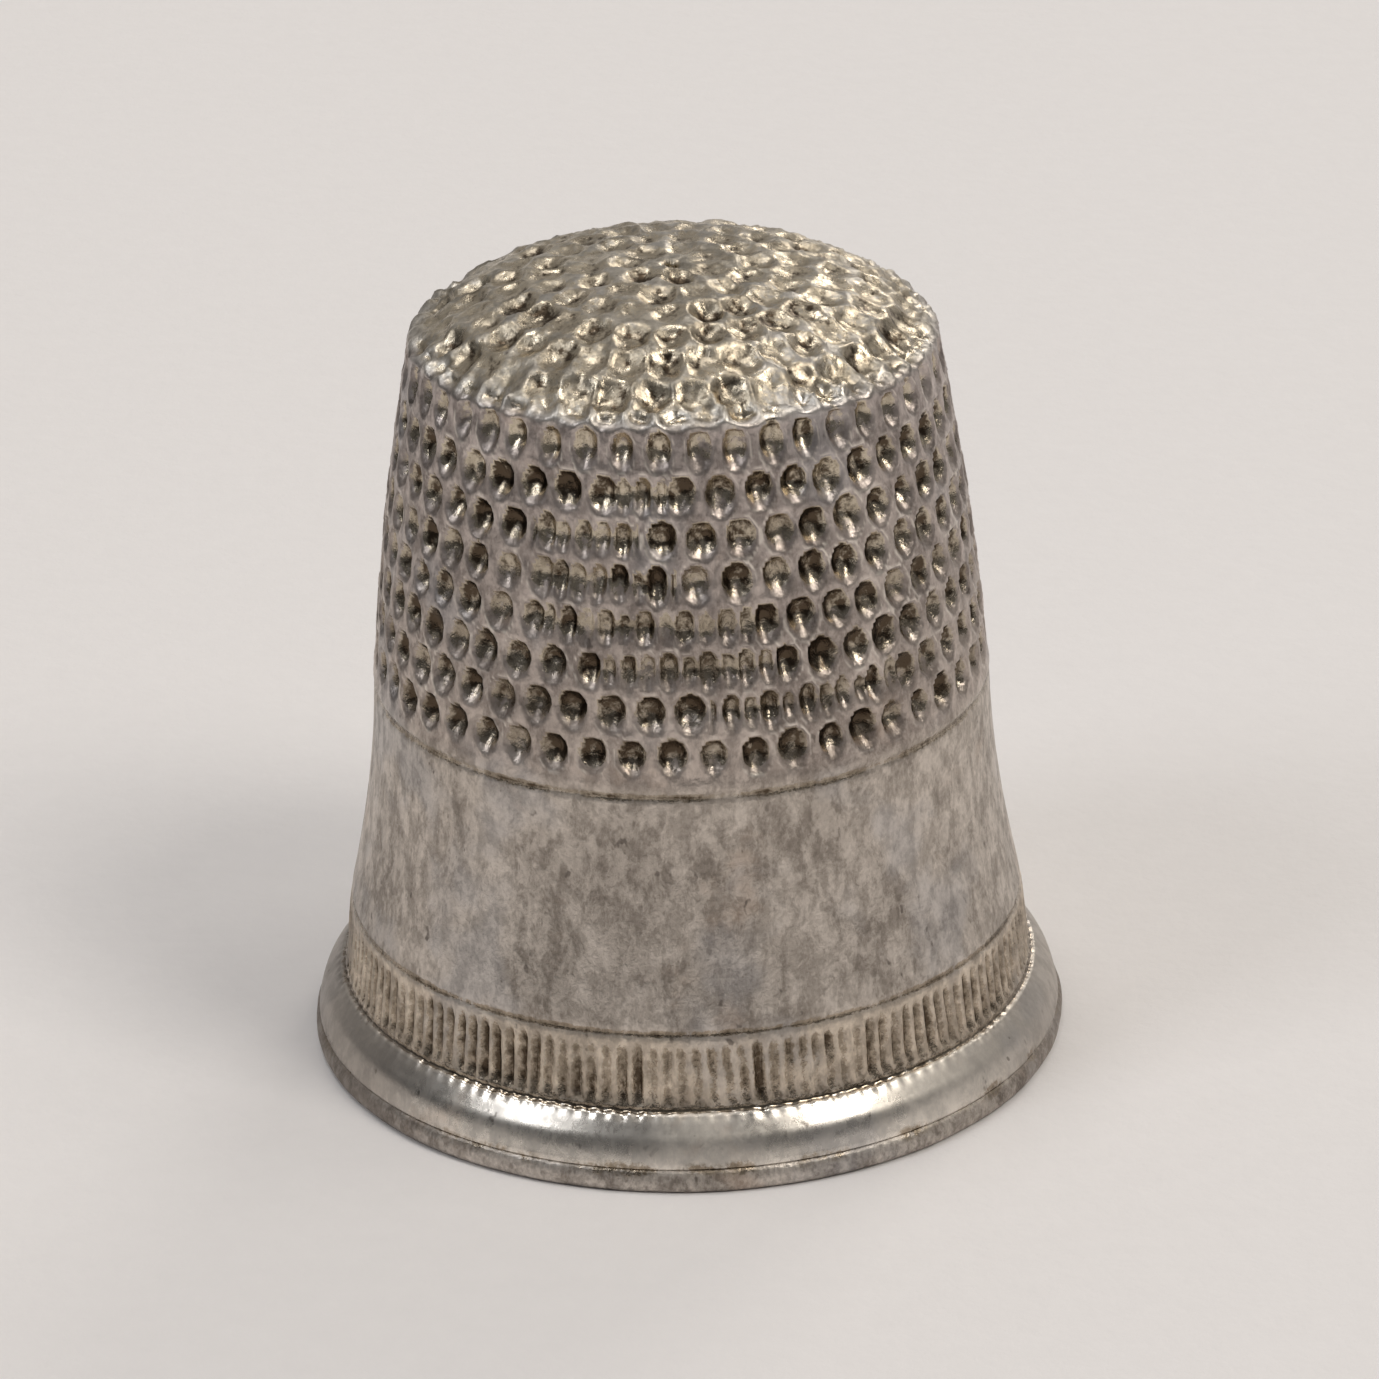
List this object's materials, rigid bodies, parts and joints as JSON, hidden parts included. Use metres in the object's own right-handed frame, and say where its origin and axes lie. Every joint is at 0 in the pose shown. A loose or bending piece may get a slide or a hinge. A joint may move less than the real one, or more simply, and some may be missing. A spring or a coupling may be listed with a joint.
{
  "type": "thimble",
  "caption": "Sewing thimble: a tapered cup, open below, with needle pits on its wall and cap, a plain band, a reeded band and a rounded rim it stands on.",
  "frame": {"origin": "centre of the rim's underside, on the thimble's axis", "axes": "+Z along the thimble's axis, from the open mouth up to the cap; X and Y are alike"},
  "size_m": [0.018, 0.018, 0.0192],
  "materials": {
    "shell_silver": "worn, tarnished sterling silver, satin, with brown tarnish in the pits and grooves",
    "ring_silver": "worn, tarnished sterling silver, satin with rubbed bright patches"
  },
  "bodies": {
    "root": {"thimble_shell": "shell_silver", "rim_ring": "ring_silver"}
  },
  "joints": []
}
